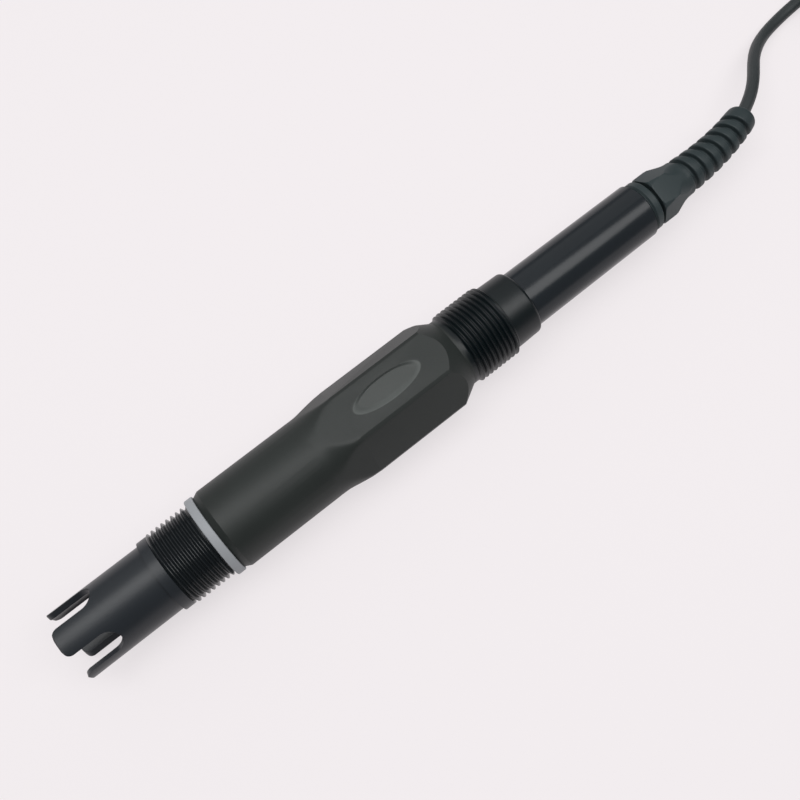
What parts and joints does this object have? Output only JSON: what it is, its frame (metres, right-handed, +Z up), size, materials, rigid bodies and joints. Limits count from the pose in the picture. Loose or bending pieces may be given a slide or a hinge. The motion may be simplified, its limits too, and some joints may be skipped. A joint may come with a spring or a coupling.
{
  "type": "process ph electrode",
  "caption": "Rod-shaped process pH electrode with a slotted guard, outer threads before and behind a hexagon grip, a cable gland with a spiral boot, and a tied cable.",
  "frame": {"origin": "centre of the electrode's footprint, without the free cord, on the surface that it lies on", "axes": "+X along the electrode from the guard to the cable, +Z up from the flat it lies on, +Y to the side that the boot bends to"},
  "size_m": [0.4775, 0.0521, 0.0342],
  "materials": {
    "shell_plastic": "semi-gloss",
    "grip_plastic": "fine matt texture",
    "tail_plastic": "gloss",
    "gasket_rubber": "matt",
    "seal_rubber": "satin",
    "gland_nylon": "satin",
    "bulb_glass": "clear",
    "porous_ring": "matt",
    "plug_plastic": "matt",
    "silver": "drawn",
    "white_insulation": "satin",
    "black_insulation": "satin",
    "potting_resin": "cast",
    "cable_jacket": "satin",
    "tie_nylon": "satin",
    "shrink_sleeve": "satin",
    "tinned_metal": "tinned",
    "red_sleeve": "satin",
    "black_sleeve": "satin"
  },
  "bodies": {
    "root": {"front_shell": "shell_plastic", "grip_body": "grip_plastic", "tail_tube": "tail_plastic", "gasket": "gasket_rubber", "front_oring": "seal_rubber", "rear_oring": "seal_rubber", "stem_oring": "seal_rubber", "gland_seal": "seal_rubber", "stem_stopper": "seal_rubber", "gland_washer": "gland_nylon", "gland_body": "gland_nylon", "gland_claw": "gland_nylon", "gland_nut": "gland_nylon", "glass_bulb": "bulb_glass", "junction_ring": "porous_ring", "chamber_plug": "plug_plastic", "silver_wire": "silver", "reference_wire": "silver", "signal_lead": "white_insulation", "signal_tail": "white_insulation", "reference_lead": "black_insulation", "screen_tail": "black_insulation", "rear_potting": "potting_resin", "inner_cable": "cable_jacket", "cord": "cable_jacket", "cord_hank": "cable_jacket", "left_tie": "tie_nylon", "right_tie": "tie_nylon", "end_sleeve": "shrink_sleeve", "signal_pin": "tinned_metal", "screen_pin": "tinned_metal", "signal_pin_sleeve": "red_sleeve", "screen_pin_sleeve": "black_sleeve"}
  },
  "joints": []
}
